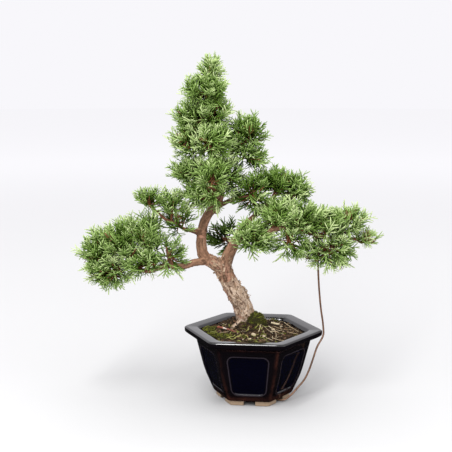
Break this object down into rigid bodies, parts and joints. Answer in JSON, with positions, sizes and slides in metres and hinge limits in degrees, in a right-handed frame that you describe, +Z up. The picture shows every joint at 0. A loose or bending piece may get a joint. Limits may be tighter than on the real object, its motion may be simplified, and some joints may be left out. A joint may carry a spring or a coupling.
{
  "type": "chinese juniper bonsai",
  "caption": "Small juniper bonsai with a leaning trunk, feathery foliage sprays and a training wire, in a dark glazed hexagonal pot filled with soil and moss.",
  "frame": {"origin": "centre of the bounding box in X and Y, at the underside of the pot's feet", "axes": "+Z up from the surface that the pot stands on, +X to the right and +Y away from the viewer, as the picture shows the tree"},
  "size_m": [0.2478, 0.1184, 0.2807],
  "materials": {
    "glaze": "gloss",
    "net": "matte",
    "soil": "matte",
    "moss": "matte",
    "bark": "matte",
    "wire": "satin",
    "foliage": "matte"
  },
  "bodies": {
    "root": {"pot": "glaze", "drain_mesh": "net", "soil": "soil", "moss_by_trunk": "moss", "moss_front_left": "moss", "moss_left_edge": "moss", "trunk": "bark", "guy_wire": "wire", "foliage_apex_tip": "foliage", "foliage_apex_upper_front": "foliage", "foliage_apex_upper_back": "foliage", "foliage_apex_middle_left": "foliage", "foliage_apex_middle_right": "foliage", "foliage_apex_low_left": "foliage", "foliage_apex_low_front": "foliage", "foliage_apex_back": "foliage", "foliage_crown_left": "foliage", "foliage_crown_front": "foliage", "foliage_crown_right": "foliage", "foliage_crown_under": "foliage", "foliage_shoulder_right": "foliage", "foliage_shoulder_low": "foliage", "foliage_middle_right": "foliage", "foliage_right_upper_inner": "foliage", "foliage_right_upper_outer": "foliage", "foliage_right_inner": "foliage", "foliage_right_middle_inner": "foliage", "foliage_right_middle_outer": "foliage", "foliage_right_low": "foliage", "foliage_right_far_inner": "foliage", "foliage_right_far_outer": "foliage", "foliage_right_far_low": "foliage", "foliage_right_low_tip": "foliage", "foliage_left_upper_outer": "foliage", "foliage_left_upper_inner": "foliage", "foliage_left_hanging": "foliage", "foliage_left_tip": "foliage", "foliage_left_outer_upper": "foliage", "foliage_left_middle_upper": "foliage", "foliage_left_outer_low": "foliage", "foliage_left_inner": "foliage", "foliage_left_dropping": "foliage", "foliage_back_low": "foliage", "foliage_back_middle": "foliage", "foliage_back_right": "foliage", "foliage_back_upper": "foliage"}
  },
  "joints": []
}
